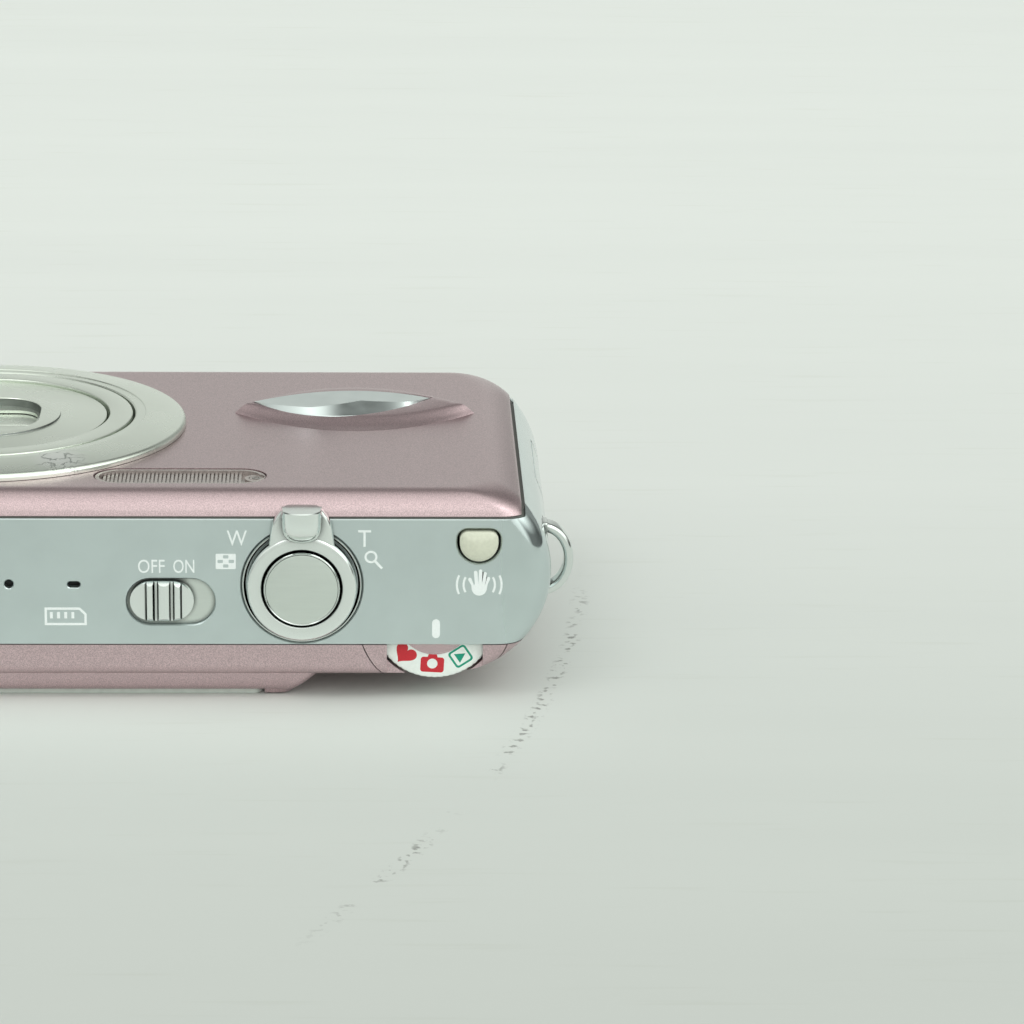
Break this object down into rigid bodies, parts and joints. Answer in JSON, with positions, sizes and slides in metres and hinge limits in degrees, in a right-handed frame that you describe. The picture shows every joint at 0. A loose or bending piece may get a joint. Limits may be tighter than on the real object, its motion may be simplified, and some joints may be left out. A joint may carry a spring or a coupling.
{
  "type": "compact digital camera",
  "caption": "Slim metal pocket camera with telescoping lens, mode dial, zoom lever, flash, display, battery door and strap eyelet, lying on its display.",
  "frame": {"origin": "centre of the casing outline, on the plane of the display window that the camera rests on", "axes": "+Z out of the lens, +X towards the shutter button end, -Y towards the top plate, +Y towards the base plate"},
  "size_m": [0.0966, 0.0548, 0.0244],
  "materials": {
    "pink_metal": "metallic pink paint, satin",
    "satin_silver": "fine blasted, anodised silver",
    "chrome": "polished",
    "barrel_silver": "turned and anodised silver",
    "steel": "plain",
    "black_plastic": "moulded",
    "clear_cover": "clear acrylic",
    "screen": "dark display",
    "optics": "coated optical glass",
    "cream_plastic": "moulded",
    "dial_white": "printed",
    "circuit_board": "solder mask",
    "cell_grey": "wrapped cell"
  },
  "bodies": {
    "casing": {"front_shell": "pink_metal", "top_side_band": "satin_silver", "rear_shell": "pink_metal", "dial_guard": "pink_metal", "bottom_plate": "satin_silver", "base_screw_1": "steel", "base_screw_2": "steel", "tripod_socket": "steel", "strap_eyelet": "chrome", "grip_ridge": "pink_metal", "grip_insert": "chrome", "flash_window": "clear_cover", "self_timer_lamp": "cream_plastic", "flash_reflector": "steel", "flash_tube": "optics", "lens_trim_ring": "barrel_silver", "lens_base_housing": "black_plastic", "lens_rear_element": "optics", "image_sensor_board": "circuit_board", "zoom_motor": "steel", "zoom_return_spring": "steel", "shutter_return_spring": "steel", "shutter_switch": "black_plastic", "mode_dial_pin": "steel", "lcd_window": "clear_cover", "lcd_module": "screen", "chassis_plate": "steel", "main_circuit_board": "circuit_board", "battery_chamber": "black_plastic", "battery": "cell_grey", "card_slot": "steel", "door_hinge_pin": "steel", "av_connector": "steel", "flash_capacitor": "black_plastic", "microphone": "black_plastic", "speaker": "black_plastic"},
    "shutter": {"shutter_button": "satin_silver"},
    "zoom": {"zoom_lever": "chrome"},
    "power": {"power_switch_knob": "chrome"},
    "stabiliser": {"stabiliser_button": "cream_plastic"},
    "dial": {"mode_dial": "dial_white"},
    "barrel_1": {"lens_barrel_stage_1": "barrel_silver"},
    "barrel_2": {"lens_barrel_stage_2": "barrel_silver", "lens_front_cap": "barrel_silver", "lens_front_element": "optics"},
    "blade_upper": {"barrier_blade_upper": "barrel_silver"},
    "blade_lower": {"barrier_blade_lower": "barrel_silver"},
    "gear": {"zoom_gear": "black_plastic"},
    "key_right": {"cursor_key_right": "satin_silver"},
    "key_down": {"cursor_key_down": "satin_silver"},
    "key_left": {"cursor_key_left": "satin_silver"},
    "key_up": {"cursor_key_up": "satin_silver"},
    "menu": {"menu_button": "satin_silver"},
    "display": {"display_button": "satin_silver"},
    "delete": {"delete_button": "satin_silver"},
    "battery_door": {"battery_door": "satin_silver"},
    "door_lock": {"door_lock_slider": "steel"},
    "terminal_door": {"terminal_door": "satin_silver"},
    "card": {"memory_card": "cell_grey"},
    "catch": {"battery_catch": "cream_plastic"}
  },
  "joints": [
    {"name": "shutter_press", "type": "slide", "parent": "casing", "child": "shutter", "axis": [0, 1, 0], "range_m": [0, 0.0008], "stiffness_N_per_m": 800},
    {"name": "zoom_turn", "type": "hinge", "parent": "casing", "child": "zoom", "pos_m": [0.02083, -0.02555, 0.0129], "axis": [0, 1, 0], "range_deg": [-20, 20], "stiffness_Nm_per_rad": 0.02},
    {"name": "power_slide", "type": "slide", "parent": "casing", "child": "power", "axis": [1, 0, 0], "range_m": [0, 0.002]},
    {"name": "stabiliser_press", "type": "slide", "parent": "casing", "child": "stabiliser", "axis": [0, 1, 0], "range_m": [0, 0.0005], "stiffness_N_per_m": 500},
    {"name": "dial_spin", "type": "hinge", "parent": "casing", "child": "dial", "pos_m": [0.0348, -0.02255, 0.0089], "axis": [0, 1, 0], "continuous": true},
    {"name": "barrel_1_slide", "type": "slide", "parent": "casing", "child": "barrel_1", "axis": [0, 0, 1], "range_m": [0, 0.0095]},
    {"name": "barrel_2_slide", "type": "slide", "parent": "barrel_1", "child": "barrel_2", "axis": [0, 0, 1], "range_m": [0, 0.0095]},
    {"name": "blade_upper_slide", "type": "slide", "parent": "barrel_2", "child": "blade_upper", "axis": [0, -1, 0], "range_m": [0, 0.0047]},
    {"name": "blade_lower_slide", "type": "slide", "parent": "barrel_2", "child": "blade_lower", "axis": [0, 1, 0], "range_m": [0, 0.0047]},
    {"name": "zoom_gear_spin", "type": "hinge", "parent": "casing", "child": "gear", "pos_m": [-0.02829, 0.01473, 0.01], "axis": [0, 0, 1], "range_deg": [0, 540]},
    {"name": "key_right_press", "type": "slide", "parent": "casing", "child": "key_right", "axis": [0, 0, 1], "range_m": [0, 0.00035], "stiffness_N_per_m": 400},
    {"name": "key_down_press", "type": "slide", "parent": "casing", "child": "key_down", "axis": [0, 0, 1], "range_m": [0, 0.00035], "stiffness_N_per_m": 400},
    {"name": "key_left_press", "type": "slide", "parent": "casing", "child": "key_left", "axis": [0, 0, 1], "range_m": [0, 0.00035], "stiffness_N_per_m": 400},
    {"name": "key_up_press", "type": "slide", "parent": "casing", "child": "key_up", "axis": [0, 0, 1], "range_m": [0, 0.00035], "stiffness_N_per_m": 400},
    {"name": "menu_press", "type": "slide", "parent": "casing", "child": "menu", "axis": [0, 0, 1], "range_m": [0, 0.00035], "stiffness_N_per_m": 400},
    {"name": "display_press", "type": "slide", "parent": "casing", "child": "display", "axis": [0, 0, 1], "range_m": [0, 0.00035], "stiffness_N_per_m": 400},
    {"name": "delete_press", "type": "slide", "parent": "casing", "child": "delete", "axis": [0, 0, 1], "range_m": [0, 0.00035], "stiffness_N_per_m": 400},
    {"name": "battery_door_hinge", "type": "hinge", "parent": "casing", "child": "battery_door", "pos_m": [0.02285, 0.02475, 0.01935], "axis": [1, 0, 0], "range_deg": [0, 95]},
    {"name": "door_lock_slide", "type": "slide", "parent": "battery_door", "child": "door_lock", "axis": [1, 0, 0], "range_m": [0, 0.002]},
    {"name": "terminal_door_hinge", "type": "hinge", "parent": "casing", "child": "terminal_door", "pos_m": [0.04605, 0.0035, 0.0181], "axis": [0, -1, 0], "range_deg": [0, 80]},
    {"name": "card_push", "type": "slide", "parent": "casing", "child": "card", "axis": [0, -1, 0], "range_m": [0, 0.0008], "stiffness_N_per_m": 200},
    {"name": "catch_slide", "type": "slide", "parent": "casing", "child": "catch", "axis": [1, 0, 0], "range_m": [0, 0.0012], "stiffness_N_per_m": 200}
  ],
  "couplings": [
    {"joint": "barrel_2_slide", "follows": "barrel_1_slide", "ratio": 1},
    {"joint": "blade_upper_slide", "follows": "barrel_1_slide", "ratio": 0.49},
    {"joint": "blade_lower_slide", "follows": "barrel_1_slide", "ratio": 0.49},
    {"joint": "zoom_gear_spin", "follows": "barrel_1_slide", "rad_per_m": 990}
  ]
}
